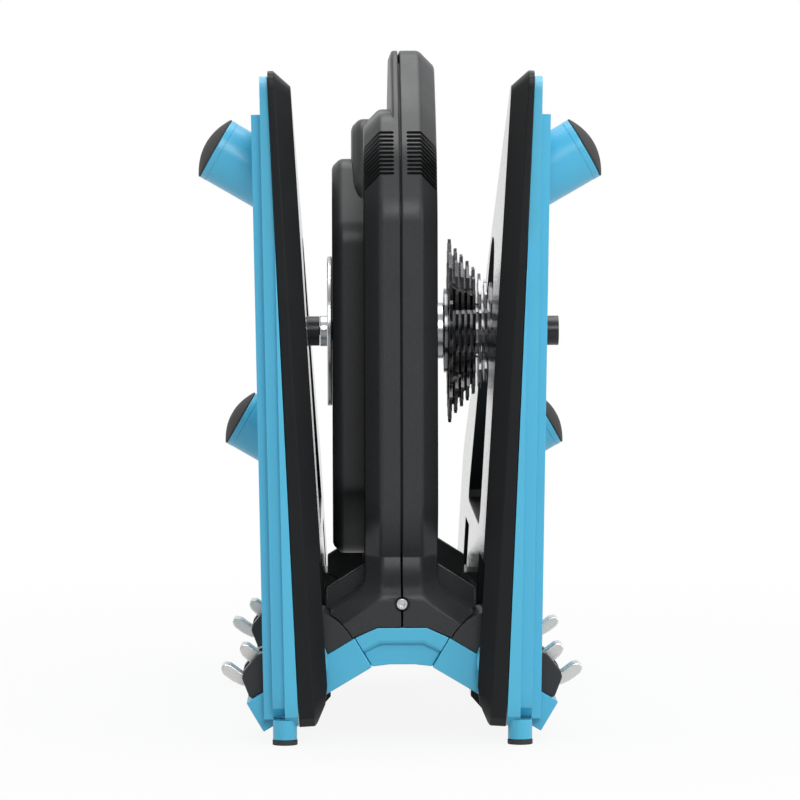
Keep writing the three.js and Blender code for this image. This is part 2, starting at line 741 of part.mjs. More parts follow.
function bearing(low_x) {
  return tube(bearing_outer_radius - gap / 3, axle_radius + gap / 3, low_x, low_x + bearing_width);
}

add('inner_bearing', bearing(inner_bearing_x), 'steel');
add('outer_bearing', bearing(outer_bearing_x), 'steel');

// Rotor drum with its magnets, round the wound stator
const magnet_outer = rotor_radius - rotor_rim;
const magnet_inner = magnet_outer - magnet_thickness;
const rotor_bore = bearing_outer_radius / Math.cos(Math.PI / round_sides);
add('rotor_drum', join([
  tube(rotor_radius, magnet_outer + gap, rotor_left_x + gap, rotor_right_x),
  tube(rotor_radius, rotor_bore, rotor_right_x - gap, rotor_right_x + rotor_web),
  tube(hub_sleeve_radius, rotor_bore, rotor_right_x, hub_sleeve_end_x)]), 'steel');
add('magnet_ring', tube(magnet_outer, magnet_inner, rotor_left_x + gap, rotor_right_x - 2 * gap), 'dark_steel');

function stator() {
  const low_x = rotor_left_x + rotor_web;
  const high_x = rotor_right_x - rotor_web;
  const reach = magnet_inner * Math.cos(Math.PI / round_sides) - running_gap;
  const ring = tube(stator_root_radius, stator_root_radius - rotor_rim, low_x, high_x);
  const hub = tube(bearing_outer_radius, axle_radius + gap / 3, low_x, high_x);
  const bars = Array.from({ length: stator_teeth }, (_, index) => {
    const whole_spoke = index % 3 === 0;
    const start = whole_spoke ? bearing_outer_radius - running_gap : stator_root_radius - running_gap;
    const geometry = new THREE.BoxGeometry(high_x - low_x, stator_tooth_width, reach - start);
    geometry.translate((low_x + high_x) / 2, 0, (reach + start) / 2);
    geometry.rotateX(index * 2 * Math.PI / stator_teeth);
    geometry.translate(0, axle_y, axle_z);
    return solid(geometry);
  });
  return join([ring, hub, ...bars]);
}

add('stator', stator(), 'copper');

// Sprockets: a rolled tooth outline, splined bore and thin web
function cog_profile(teeth) {
  const pitch_radius = chain_pitch / (2 * Math.sin(Math.PI / teeth));
  const root = pitch_radius - roller_radius;
  const tip = pitch_radius + roller_radius * 0.62;
  const step = 2 * Math.PI / teeth;
  const stations = [[0.12, root], [0.42, tip], [0.6, tip]];
  return Array.from({ length: teeth }, (_, tooth) => stations.map(([share, radius]) => {
    const angle = (tooth + share) * step;
    return new THREE.Vector2(radius * Math.cos(angle), radius * Math.sin(angle));
  })).flat();
}

function cog(teeth, low_x, bore) {
  const shape = new THREE.Shape(cog_profile(teeth));
  const geometry = new THREE.ExtrudeGeometry(shape, {
    depth: cog_thickness, bevelEnabled: false,
  });
  geometry.translate(0, 0, low_x);
  geometry.applyMatrix4(along_x);
  geometry.translate(0, axle_y, axle_z);
  return solid(geometry).subtract(disc(bore, low_x - cog_thickness, low_x + 2 * cog_thickness));
}

function freehub_splines(room) {
  const end_x = cassette_x + cog_pitch * (carrier_cog_teeth.length + loose_cog_teeth.length);
  return Array.from({ length: spline_count }, (_, index) => {
    const height = spline_height + freehub_radius / 4;
    const geometry = new THREE.BoxGeometry(end_x - cassette_x, spline_width + 2 * room, height);
    geometry.translate((end_x + cassette_x) / 2, 0, freehub_radius + spline_height + room - height / 2);
    geometry.rotateX(index * 2 * Math.PI / spline_count);
    geometry.translate(0, axle_y, axle_z);
    return solid(geometry);
  });
}

const loose_start = cassette_x + cog_pitch * carrier_cog_teeth.length;
const cassette_end = loose_start + cog_pitch * loose_cog_teeth.length;
const bore_radius = freehub_radius + gap / 2;
const spline_cuts = freehub_splines(gap);

function carrier_cogs() {
  const cogs = carrier_cog_teeth.map((teeth, index) => {
    const low_x = cassette_x + index * cog_pitch;
    const pitch_radius = chain_pitch / (2 * Math.sin(Math.PI / teeth));
    const arm_reach = pitch_radius - 2 * roller_radius;
    return cog(teeth, low_x, Math.min(arm_reach, pitch_radius * 0.8));
  });
  const end_x = loose_start - cog_pitch + cog_thickness;
  const core = tube(carrier_radius, bore_radius, cassette_x, end_x);
  const arms = Array.from({ length: carrier_arms }, (_, index) => {
    const cog_reach = chain_pitch / (2 * Math.sin(Math.PI / carrier_cog_teeth[0])) - roller_radius;
    const small_reach = chain_pitch / (2 * Math.sin(Math.PI / carrier_cog_teeth.at(-1))) - roller_radius;
    const start = carrier_radius - running_gap;
    const shape = polygon([[cassette_x, start], [end_x, start], [end_x, small_reach - running_gap],
      [cassette_x + cog_thickness, cog_reach - running_gap], [cassette_x, cog_reach - running_gap]]);
    const geometry = new THREE.ExtrudeGeometry(shape, { depth: spline_width, bevelEnabled: false });
    geometry.translate(0, 0, -spline_width / 2);
    geometry.rotateX(index * 2 * Math.PI / carrier_arms);
    geometry.translate(0, axle_y, axle_z);
    return solid(geometry);
  });
  return cut(join([...cogs, core, ...arms]), spline_cuts);
}

add('cassette_carrier_cogs', carrier_cogs(), 'dark_steel');
loose_cog_teeth.forEach((teeth, index) => {
  const low_x = loose_start + index * cog_pitch;
  const spacer = tube(Math.min(spacer_radius, chain_pitch * teeth / (2 * Math.PI) - roller_radius - gap),
    bore_radius, low_x, low_x + cog_pitch - gap);
  add(`cog_${teeth}_teeth`, cut(cog(teeth, low_x, bore_radius).add(spacer), spline_cuts), 'steel');
});
add('cassette_lockring', tube(lockring_radius, axle_radius + 2 * gap + bearing_width / 2,
  cassette_end, cassette_end + lockring_thickness - gap), 'steel');

const freehub_start = hub_sleeve_end_x + gap;
const freehub_bore = axle_radius + gap;
add('freehub_body', join([
  tube(freehub_radius, freehub_bore, freehub_start, cassette_end - gap), ...freehub_splines(0).map(
    (spline) => spline.subtract(disc(freehub_radius - spline_height, 0, depth))
      .intersect(block([0, 0, 0], [cassette_end - gap, depth, depth]))),
  tube(carrier_radius, freehub_bore, freehub_start + gap, cassette_x - gap)]), 'steel');

trainer.position.y = -depth / 2;
trainer.updateMatrixWorld(true);

export default trainer;
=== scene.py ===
"""A folded direct drive bike trainer: finishes, small details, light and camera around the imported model."""

import json
import math

import bmesh
import bpy
from mathutils import Matrix, Vector


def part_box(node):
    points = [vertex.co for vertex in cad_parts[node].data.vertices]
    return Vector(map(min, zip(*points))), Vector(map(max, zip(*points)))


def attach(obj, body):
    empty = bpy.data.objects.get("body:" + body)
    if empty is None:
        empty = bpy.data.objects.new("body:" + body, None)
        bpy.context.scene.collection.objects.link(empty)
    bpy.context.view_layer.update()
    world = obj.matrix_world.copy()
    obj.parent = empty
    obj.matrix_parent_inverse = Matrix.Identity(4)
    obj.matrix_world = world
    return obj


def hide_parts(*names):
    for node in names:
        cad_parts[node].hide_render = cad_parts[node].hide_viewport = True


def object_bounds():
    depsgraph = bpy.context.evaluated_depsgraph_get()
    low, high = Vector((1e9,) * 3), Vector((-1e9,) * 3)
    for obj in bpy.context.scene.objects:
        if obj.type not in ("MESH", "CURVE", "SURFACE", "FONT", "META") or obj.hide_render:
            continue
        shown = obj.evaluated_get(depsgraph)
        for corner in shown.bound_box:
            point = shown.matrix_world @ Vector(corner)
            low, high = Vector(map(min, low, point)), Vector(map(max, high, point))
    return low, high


MM = 0.001
SIGNS = {"left": -1, "right": 1}

# Camera, in metres, degrees and millimetres of lens: behind the trainer, a little to its left.
CAMERA_PLACE = Vector((-0.0373, -3.1875, 0.3354))
CAMERA_AIM = Vector((0.0024, 0.0, 0.1966))
CAMERA_ROLL = -0.15
CAMERA_LENS = 217
CAMERA_FAR = 60.0

# Stage and light, in metres and watts.
FLOOR_REACH = 6.0
FLOOR_GLOW = {"near": 0.35, "far": 1.1, "share": 0.9}
WORLD_DIM = 0.2
WORLD_BRIGHT = 1.0
WORLD_SIDES = {
    "backdrop": {"axis": "Y", "start": -0.05, "end": 0.4, "share": 1.0},
    "overhead": {"axis": "Z", "start": 0.35, "end": 0.9, "share": 1.0},
    "right_wall": {"axis": "X", "start": 0.3, "end": 0.9, "share": 0.5},
}
PANELS = {
    "front_panel": {"place": (0.35, -3.0, 1.8), "size": 1.6, "watts": 48},
    "right_panel": {"place": (1.9, -1.2, 1.0), "size": 1.2, "watts": 15},
    "left_panel": {"place": (-2.0, -0.8, 0.9), "size": 1.0, "watts": 6},
    "top_panel": {"place": (0.1, 0.3, 2.1), "size": 1.6, "watts": 24},
}
PANEL_AIM = Vector((0, 0, 0.2))
WHITE = (1.0, 1.0, 1.0, 1.0)
FLOOR_GREY = (0.5, 0.5, 0.5, 1.0)
FLOOR_ROUGHNESS = 0.8

# Finishes: what each has where it doesn't say otherwise, and how their patterns are read.
PLAIN_LOOK = {
    "stretch": (1, 1, 1), "grain": 700, "patches": 14, "smears": 45, "change": 0.06, "speckle": 0.10,
    "worn": None, "wear": 0.5, "wear_width": 1.2 * MM, "polished_sides": None, "coat": 0.0,
    "coat_roughness": 0.15, "specular": 0.5, "bump": 0.25, "depth": 0.08,
}
NOISE_MIDDLE = {"from": 0.25, "to": 0.75}
GRAIN_DETAIL = 3.0
SMEAR_DETAIL = 4.0
WEAR_PATTERN = {"scale": 160, "detail": 4.0}
WORN_CORNER = {"from": 0.97, "to": 0.80, "samples": 4}
ROUGHER = 0.06
SMOOTHER = 0.05
SPECK_SHARE = 0.5
SIDE_FACING = {"from": 0.9, "to": 0.97}

# Rounding of edges, and of outlines' corners, which take up one of this many parts of an edge at most.
EDGE_WIDTHS = {
    "housing": 0.9 * MM,
    "leg": 1.2 * MM,
    "arm": 1.0 * MM,
    "cog": 0.12 * MM,
    "other": 0.35 * MM,
}
SHARP_ANGLE = math.radians(32)
FLAT_ANGLE = math.radians(0.6)
WELD_REACH = 0.002 * MM
EDGE_PARTS = 3
CURVE_SHARES = (0.0, 0.25, 0.5, 0.75, 1.0)

# Turned and round shapes' sides, and how far cutting tools reach, in mm.
SIDES = {"large": 96, "usual": 64, "middle": 48, "small": 32, "pin": 24}
TOOL_PAST = 5.0
TOOL_REACH = 40.0
BORE_REACH = 60.0

# The rear and the front arms, in mm from the rear end: their middles, half width and outward side.
ARM_MIDDLES = {"rear": 52.0, "front": 372.0}
ARM_HALF = 31.0
OUTWARD = {"rear": -1, "front": 1}

# Motor housing shells, in mm from the rear end and the floor; shares are (forward, up).
SEAM = 0.6
SEAM_ROUND = 0.5
TONGUE = {"sink": 8.0, "back": 1.0, "reach": 1.4, "air": 0.3}
HALF_WIDTH = 22.5
FACET = 10.0
HOUSING_PLACE = {"rear": 25.0, "low": 72.0, "depth": 350.0, "height": 351.0}
RIGHT_SHARES = [(0.055, 0), (0.945, 0), (0.945, 0.1), (1, 0.2), (1, 0.72), (0.88, 0.92),
                (0.68, 1), (0.3, 1), (0.15, 0.9), (0.055, 0.82), (0, 0.72), (0, 0.19), (0.055, 0.1)]
REAR_SHARES = RIGHT_SHARES[7:12]
LEFT_SHARES = [(0.055, 0), (0.945, 0), (0.945, 0.1), (1, 0.2), (1, 0.72), (0.88, 0.84), (0.68, 0.895),
               (0.3, 0.895), (0.131, 0.884), (0.055, 0.82), (0, 0.72), (0, 0.19), (0.055, 0.1)]
LOBE_PLACE = {"rear": 70.0, "low": 108.0, "depth": 262.0, "height": 247.0}
STEP_PLACE = {"rear": 88.0, "low": 124.0, "depth": 226.0, "height": 256.0}
LOBE_SHARES = [(0.16, 0), (0.84, 0), (1, 0.18), (1, 0.82), (0.84, 1), (0.16, 1), (0, 0.82), (0, 0.18)]
LOBE_FACE = 42.0
STEP_FACE = 29.6
LOBE_FACET = 5.0
FIN_FACE = 5.4
FIN_ROUND = 1.6
SHELL_ROUND = 9.0
FACET_ROUND = 2.4
FACE_EDGE = [(-0.8, -0.8), (0.0, 1.2)]
AXLE_Y = 200.0
AXLE_Z = 245.0
ROTOR_ROOM = 103.0
ROOM_AIR = 0.3
ROOM_DEPTH = {"right": 7.5, "left": 39.0}
BORES = {"right": 19.2, "left": 9.8}

# Cooling slots: level on the rear face, then slanting down over the facet.
VENT_COUNT = 11
VENT_PITCH = 2.5
VENT_TOP_Z = 370.6
VENT_HEIGHT = 1.7
VENT_START_X = 3.9
VENT_DEPTH = 5.0
VENT_SLANT = 1.05
VENT_FOLLOW = 1.1
VENT_SWELL = 1.3
VENT_BEND = 1.0
VENT_START_Y = -20.0
VENT_ROUND_SHARES = [(0.0, 0.35), (0.25, 0.8), (0.7, 1.0)]

# Skirts over the bridges: at each height, how far the face is set back and how wide it and the whole are.
SKIRT_HALF = 30.7
SKIRT_SINK_SCALE = {"rear": 1.0, "front": 2.2}
SKIRT_FACET = 10.0
SKIRT_LEVELS = [
    {"z": 60.0, "sink": 0.8, "flat": 45.0, "out": 46.0},
    {"z": 70.2, "sink": 0.3, "flat": 38.6, "out": 45.0},
    {"z": 74.4, "sink": 0.0, "flat": 31.8, "out": 44.0},
    {"z": 80.0, "sink": 0.0, "flat": 22.9, "out": 43.0},
    {"z": 84.5, "sink": 0.0, "flat": 16.6, "out": 36.4},
    {"z": 88.0, "sink": 0.2, "flat": 13.6, "out": 30.8},
    {"z": 91.5, "sink": 2.0, "flat": 12.4, "out": 25.8},
    {"z": 95.5, "sink": 7.6, "flat": 12.1, "out": 23.2},
    {"z": 100.0, "sink": 14.2, "flat": 12.1, "out": 22.4},
    {"z": 105.0, "sink": 18.4, "flat": 12.2, "out": 22.2},
    {"z": 111.0, "sink": 20.2, "flat": 12.2, "out": 22.1},
    {"z": 118.0, "sink": 19.4, "flat": 11.6, "out": 21.6},
]
SKIRT_CORNERS = [0.4, 2.2, 2.2, 1.0, 0.4]
SKIRT_ARCH = [(-5.0, 50.0), (70.0, 20.0), (70.0, 39.6), (28.66, 64.2), (15.0, 70.1), (-5.0, 70.1)]
RIB_OUTLINE = [(0.6, 74.0), (46.0, 72.0), (46.0, 89.6), (22.4, 104.6), (0.6, 106.0)]
RIB_SPAN = 13.0
RIB_EDGE = 0.8
HINGE_X = 58.0
HINGE_Z = 49.0
COVER_CLEARING = 31.6
SCREW_Z = 84.0
SCREW_RECESS = 4.8
SCREW_SINK = 3.0

# Each bridge's face is set back below a rounded lip: (across, up) outline of what goes.
BRIDGE_SETBACK = [(-13.6, 62.6), (-27.4, 55.8), (-40.0, 55.8), (-40.0, 30.0), (40.0, 30.0), (40.0, 55.8),
                  (27.4, 55.8), (13.6, 62.6)]
BRIDGE_DEPTH = 3.4
BRIDGE_ROUND = 3.4
BRIDGE_TURNS = (20, 40, 60, 80)

# Hinge latches.
LATCH_BLOCK = [(66.0, 41.2), (91.4, 26.2), (93.2, 27.4), (97.6, 38.6), (96.8, 42.4), (88.2, 53.0),
               (83.4, 54.6), (70.4, 51.4), (65.8, 46.0)]
LATCH_HALF = 25.5
LATCH_EDGE = [(0.0, 0.6), (0.6, 0.0)]
LATCH_ROUND = 2.0
MOUTH_OUTLINE = [(72.0, 34.5), (130.0, 34.5), (130.0, 80.0), (72.0, 80.0)]
MOUTH_HALF = 11.2
KNUCKLE_CLEARING = 14.6
LATCH_AXIS = (82.0, 44.0)
LATCH_PIN_RADIUS = 2.0
LATCH_PIN_AIR = 0.3
LOWER_PRONG = [(80.0, 40.4), (88.0, 36.0), (97.0, 32.0), (103.8, 35.4), (109.6, 39.8), (110.8, 43.2),
               (108.8, 46.0), (104.6, 45.2), (97.0, 39.4), (88.0, 41.5), (82.0, 48.0)]
UPPER_PRONG = [(80.0, 42.0), (86.4, 40.2), (91.0, 44.9), (98.0, 51.6), (99.4, 54.8), (97.8, 58.0),
               (94.0, 57.8), (87.6, 53.0), (82.6, 48.6)]
PRONG_HALF = 9.6
PRONG_EDGE = [(0.0, 0.9), (0.3, 0.3), (1.0, 0.0)]

# Leg feet: tilted tubes that end in a shallow dome under a thin rubber skin.
FOOT_ENDS = {"rear": (110.7, 66.0, 359.7), "front": (103.5, 430.0, 177.0)}
FOOT_TILT = math.radians(30)
FOOT_RADIUS = 19.8
FOOT_COLLAR = {"start": -1.6, "end": 2.2, "proud": 0.15}
FOOT_PLUG = 6.0
FOOT_PLUG_RADIUS = 16.2
FOOT_DOME = 4.4
FOOT_SKIN = {"gap": 0.3, "rim": 1.0, "dome": 6.2}
DOME_STEPS = 8

# Bright plate at the axle's left end, as (outward, radius) points.
HUB_PLATE_X = -LOBE_FACE - ROOM_AIR
HUB_PLATE = [(0.0, 47.4), (0.5, 48.0), (2.5, 48.0), (3.0, 47.4), (3.0, 41.0), (2.2, 40.0), (2.2, 17.0),
             (3.0, 16.0), (3.0, 9.8), (7.3, 9.8), (7.7, 9.4)]
HUB_BORE = 6.3


def noise(tree, coordinates, scale, detail=2.0):
    """A noise pattern in the object's own metres."""
    node = tree.nodes.new("ShaderNodeTexNoise")
    node.inputs["Scale"].default_value = scale
    node.inputs["Detail"].default_value = detail
    tree.links.new(coordinates, node.inputs["Vector"])
    return node.outputs["Fac"]


def mapped(tree, value, start, end, low=0.0, high=1.0, curve="LINEAR"):
    """Maps a value from one range onto another."""
    node = tree.nodes.new("ShaderNodeMapRange")
    node.interpolation_type = curve
    node.inputs["From Min"].default_value = start
    node.inputs["From Max"].default_value = end
    node.inputs["To Min"].default_value = low
    node.inputs["To Max"].default_value = high
    tree.links.new(value, node.inputs["Value"])
    return node.outputs["Result"]


def spread(tree, value, low, high):
    """Maps a pattern's middle half onto the range from low to high."""
    return mapped(tree, value, NOISE_MIDDLE["from"], NOISE_MIDDLE["to"], low, high)


def worked_out(tree, operation, first, second=None):
    """A value worked out from one other or from two."""
    node = tree.nodes.new("ShaderNodeMath")
    node.operation = operation
    tree.links.new(first, node.inputs[0])
    if second is not None:
        tree.links.new(second, node.inputs[1])
    return node.outputs["Value"]


def blended(tree, share, first, second):
    """A colour between two, by a share that is a socket."""
    node = tree.nodes.new("ShaderNodeMix")
    node.data_type = "RGBA"
    tree.links.new(share, node.inputs["Factor"])
    for socket, value in ((node.inputs["A"], first), (node.inputs["B"], second)):
        if isinstance(value, tuple):
            socket.default_value = value
        else:
            tree.links.new(value, socket)
    return node.outputs["Result"]


def edge_mask(tree, width, pattern):
    """1 on worn corners and 0 on flat faces, broken up by a pattern."""
    rounded_corner = tree.nodes.new("ShaderNodeBevel")
    rounded_corner.samples = WORN_CORNER["samples"]
    rounded_corner.inputs["Radius"].default_value = width
    flat = tree.nodes.new("ShaderNodeNewGeometry")
    alike = tree.nodes.new("ShaderNodeVectorMath")
    alike.operation = "DOT_PRODUCT"
    tree.links.new(rounded_corner.outputs["Normal"], alike.inputs[0])
    tree.links.new(flat.outputs["Normal"], alike.inputs[1])
    corner = mapped(tree, alike.outputs["Value"], WORN_CORNER["from"], WORN_CORNER["to"])
    return worked_out(tree, "MULTIPLY", corner, pattern)


def shades(colour, change):
    """Two shades of a colour, darker and lighter by the same part."""
    dark = tuple(c * (1 - change) for c in colour) + (1.0,)
    light = tuple(min(1.0, c * (1 + change)) for c in colour) + (1.0,)
    return dark, light


def finish_of(name, colour, roughness, metallic=0.0, **look):
    """A procedural finish: slow colour changes, grain, roughness that varies, bump and worn edges."""
    look = {**PLAIN_LOOK, **look}
    material = bpy.data.materials.new(name)
    material.use_nodes = True
    tree = material.node_tree
    shader = tree.nodes["Principled BSDF"]
    coordinates = tree.nodes.new("ShaderNodeTexCoord").outputs["Object"]
    stretch = tree.nodes.new("ShaderNodeMapping")
    stretch.inputs["Scale"].default_value = look["stretch"]
    tree.links.new(coordinates, stretch.inputs["Vector"])
    grain = noise(tree, stretch.outputs["Vector"], look["grain"], GRAIN_DETAIL)
    slow = noise(tree, coordinates, look["patches"])
    dark, light = shades(colour, look["change"])
    tone = blended(tree, spread(tree, slow, 0.0, 1.0), dark, light)
    speck_dark, speck_light = shades(colour, look["speckle"])
    specks = blended(tree, spread(tree, grain, 0.0, 1.0), speck_dark, speck_light)
    mixed = tree.nodes.new("ShaderNodeMix")
    mixed.data_type = "RGBA"
    mixed.inputs["Factor"].default_value = SPECK_SHARE
    tree.links.new(tone, mixed.inputs["A"])
    tree.links.new(specks, mixed.inputs["B"])
    base = mixed.outputs["Result"]
    if look["worn"]:
        patches = noise(tree, coordinates, WEAR_PATTERN["scale"], WEAR_PATTERN["detail"])
        mask = edge_mask(tree, look["wear_width"], spread(tree, patches, 0.0, look["wear"]))
        base = blended(tree, mask, base, look["worn"] + (1.0,))
    tree.links.new(base, shader.inputs["Base Color"])
    smears = noise(tree, coordinates, look["smears"], SMEAR_DETAIL)
    rough = spread(tree, smears, roughness - SMOOTHER, roughness + ROUGHER)
    if look["polished_sides"]:
        rough = polished(tree, rough, look["polished_sides"])
    tree.links.new(rough, shader.inputs["Roughness"])
    shader.inputs["Metallic"].default_value = metallic
    shader.inputs["Coat Weight"].default_value = look["coat"]
    shader.inputs["Coat Roughness"].default_value = look["coat_roughness"]
    shader.inputs["Specular IOR Level"].default_value = look["specular"]
    bump = tree.nodes.new("ShaderNodeBump")
    bump.inputs["Strength"].default_value = look["bump"]
    bump.inputs["Distance"].default_value = look["depth"] * MM
    tree.links.new(grain, bump.inputs["Height"])
    tree.links.new(bump.outputs["Normal"], shader.inputs["Normal"])
    return material


def polished(tree, rough, smooth):
    """Less roughness where a surface faces left or right in the part's own frame."""
    normal = tree.nodes.new("ShaderNodeTexCoord").outputs["Normal"]
    parts = tree.nodes.new("ShaderNodeSeparateXYZ")
    tree.links.new(normal, parts.inputs["Vector"])
    size = worked_out(tree, "ABSOLUTE", parts.outputs["X"])
    mix = tree.nodes.new("ShaderNodeMix")
    tree.links.new(mapped(tree, size, SIDE_FACING["from"], SIDE_FACING["to"]), mix.inputs["Factor"])
    tree.links.new(rough, mix.inputs["A"])
    mix.inputs["B"].default_value = smooth
    return mix.outputs["Result"]


FINISHES = {
    "blue_paint": finish_of(
        "blue_paint", (0.058, 0.40, 0.60), 0.40, grain=1400, bump=0.12, change=0.03,
        speckle=0.03, worn=(0.15, 0.50, 0.70), wear=0.35, coat=0.25, coat_roughness=0.22,
    ),
    "black_plastic": finish_of(
        "black_plastic", (0.026, 0.0275, 0.029), 0.38, grain=1100, bump=0.55, depth=0.12,
        speckle=0.4, worn=(0.04, 0.042, 0.046), wear=0.6, specular=0.3,
    ),
    "cover_plastic": finish_of(
        "cover_plastic", (0.0065, 0.0072, 0.008), 0.36, grain=1100, bump=0.5, depth=0.12,
        speckle=0.4, worn=(0.035, 0.037, 0.04), wear=0.6, specular=0.2, polished_sides=0.08,
    ),
    "gloss_plastic": finish_of(
        "gloss_plastic", (0.015, 0.015, 0.017), 0.14, grain=400, bump=0.04,
        worn=(0.04, 0.04, 0.045), wear=0.3,
    ),
    "black_steel": finish_of(
        "black_steel", (0.022, 0.022, 0.024), 0.32, 0.4, grain=900, bump=0.15,
        worn=(0.16, 0.16, 0.17), wear=0.5, wear_width=0.6 * MM,
    ),
    "rubber": finish_of(
        "rubber", (0.022, 0.0215, 0.021), 0.72, grain=800, bump=0.5, depth=0.15,
        speckle=0.2, worn=(0.05, 0.05, 0.05), wear=0.5,
    ),
    "steel": finish_of(
        "steel", (0.56, 0.57, 0.58), 0.28, 1.0, grain=500, stretch=(1, 12, 12), bump=0.1,
        worn=(0.75, 0.75, 0.76), wear=0.6, wear_width=0.5 * MM,
    ),
    "cog_steel": finish_of(
        "cog_steel", (0.055, 0.055, 0.058), 0.26, 1.0, grain=600, bump=0.18, change=0.2,
        worn=(0.30, 0.30, 0.32), wear=0.6, wear_width=0.3 * MM,
    ),
    "cog_chrome": finish_of(
        "cog_chrome", (0.20, 0.20, 0.21), 0.2, 1.0, grain=600, bump=0.12, change=0.12,
        worn=(0.5, 0.5, 0.52), wear=0.6, wear_width=0.3 * MM,
    ),
    "lever_metal": finish_of(
        "lever_metal", (0.66, 0.665, 0.65), 0.3, 0.85, grain=900, bump=0.2,
        worn=(0.92, 0.92, 0.9), wear=0.6, wear_width=0.6 * MM,
    ),
    "copper": finish_of("copper", (0.62, 0.33, 0.18), 0.35, 0.9, grain=500, bump=0.3),
    "board": finish_of("board", (0.02, 0.16, 0.06), 0.45, grain=300, bump=0.2),
}


def sharpness(node):
    """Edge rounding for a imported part, by its kind."""
    for kind in ("housing", "cog", "arm"):
        if kind in node:
            return EDGE_WIDTHS[kind]
    return EDGE_WIDTHS["leg" if "_leg_" in node else "other"]


def soften(piece, width):
    """Joins split corners, merges flat faces, rounds sharp edges and shades the rest smooth."""
    piece.data.polygons.foreach_set("use_smooth", [True] * len(piece.data.polygons))
    with bpy.context.temp_override(object=piece, active_object=piece):
        if piece.data.has_custom_normals:
            bpy.ops.mesh.customdata_custom_splitnormals_clear()
    weld = piece.modifiers.new("weld", "WELD")
    weld.merge_threshold = WELD_REACH
    merge = piece.modifiers.new("merge_flat_faces", "DECIMATE")
    merge.decimate_type = "DISSOLVE"
    merge.angle_limit = FLAT_ANGLE
    bevel = piece.modifiers.new("rounded_edges", "BEVEL")
    bevel.width = width
    bevel.segments = 2
    bevel.limit_method = "ANGLE"
    bevel.angle_limit = SHARP_ANGLE
    bevel.use_clamp_overlap = True
    bevel.harden_normals = False
    normals = piece.modifiers.new("even_shading", "WEIGHTED_NORMAL")
    normals.keep_sharp = False


def to_world(x, y, z):
    """A place in mm from the rear end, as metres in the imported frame."""
    return Vector((x * MM, packed_box[0][1] + y * MM, z * MM))


def rounded(points, radius, steps=4):
    """A closed outline with its corners rounded, by one radius or by one for each corner."""
    radii = radius if isinstance(radius, list) else [radius] * len(points)
    result = []
    for index, corner in enumerate(points):
        corner = Vector(corner)
        into = Vector(points[index - 1]) - corner
        out = Vector(points[(index + 1) % len(points)]) - corner
        reach = min(radii[index], into.length / EDGE_PARTS, out.length / EDGE_PARTS)
        start = corner + into.normalized() * reach
        end = corner + out.normalized() * reach
        for step in range(steps + 1):
            share = step / steps
            result.append(start.lerp(corner, share).lerp(corner.lerp(end, share), share))
    return result


def inset(points, distance):
    """A closed outline, anticlockwise, with each edge moved inward."""
    result = []
    for index, corner in enumerate(points):
        corner = Vector(corner)
        into = (corner - Vector(points[index - 1])).normalized()
        out = (Vector(points[(index + 1) % len(points)]) - corner).normalized()
        miter = Vector((-into.y - out.y, into.x + out.x))
        result.append(corner + miter * (2 * distance / miter.length_squared))
    return result


def loft(name, rings):
    """Skins rings of equally many places and closes both ends."""
    mesh = bpy.data.meshes.new(name)
    count = len(rings[0])
    faces = [tuple(reversed(range(count)))]
    for level in range(len(rings) - 1):
        low = level * count
        for index in range(count):
            after = (index + 1) % count
            faces.append((low + index, low + after, low + count + after, low + count + index))
    last = (len(rings) - 1) * count
    faces.append(tuple(range(last, last + count)))
    mesh.from_pydata([place for ring in rings for place in ring], [], faces)
    shape = bmesh.new()
    shape.from_mesh(mesh)
    bmesh.ops.recalc_face_normals(shape, faces=shape.faces)
    shape.to_mesh(mesh)
    shape.free()
    piece = bpy.data.objects.new(name, mesh)
    bpy.context.scene.collection.objects.link(piece)
    return piece


def across(name, outline, levels, radius=0.0):
    """A body along X: a (forward, up) outline at each (x, inset) level."""
    rings = []
    for x, moved in levels:
        ring = inset(outline, moved)
        ring = rounded(ring, radius) if radius else ring
        rings.append([to_world(x, point[0], point[1]) for point in ring])
    return loft(name, rings)


def along(name, outline, levels, radius=0.0, side=1):
    """A body along Y: an (across, up) outline at each (y, inset) level."""
    rings = []
    for y, moved in levels:
        ring = inset(outline, moved)
        ring = rounded(ring, radius) if radius else ring
        rings.append([to_world(side * point[0], y, point[1]) for point in ring])
    return loft(name, rings)


def through(middle, half):
    """Levels of a straight body that reaches equally far to both sides of its middle."""
    return [(middle - half, 0.0), (middle + half, 0.0)]


def edged(middle, half, steps):
    """Levels of a body whose two ends are worked alike, by (distance from the end, inset) steps."""
    start = [(middle - half + distance, moved) for distance, moved in steps]
    end = [(middle + half - distance, moved) for distance, moved in reversed(steps)]
    return start + end


def circle(middle, radius, sides=SIDES["usual"]):
    """Points of a circle, anticlockwise."""
    turns = [2 * math.pi * index / sides for index in range(sides)]
    return [(middle[0] + radius * math.cos(turn), middle[1] + radius * math.sin(turn)) for turn in turns]


def settle(piece):
    """Keeps the result of a piece's modifiers as its plain mesh."""
    graph = bpy.context.evaluated_depsgraph_get()
    mesh = bpy.data.meshes.new_from_object(piece.evaluated_get(graph))
    piece.modifiers.clear()
    piece.data = mesh


def combine(piece, tool, operation="DIFFERENCE"):
    """Cuts a tool from a piece, or joins it on, and removes the tool."""
    change = piece.modifiers.new("combine", "BOOLEAN")
    change.operation = operation
    change.solver = "EXACT"
    change.object = tool
    settle(piece)
    bpy.data.objects.remove(tool)


def face_of(end, half):
    """Where a face lies that far outward of an arm's middle, from the rear end."""
    return ARM_MIDDLES[end] + OUTWARD[end] * half


def outline_in(place, shares):
    """An outline given in shares, laid into its place."""
    return [(place["rear"] + u * place["depth"], place["low"] + v * place["height"]) for u, v in shares]


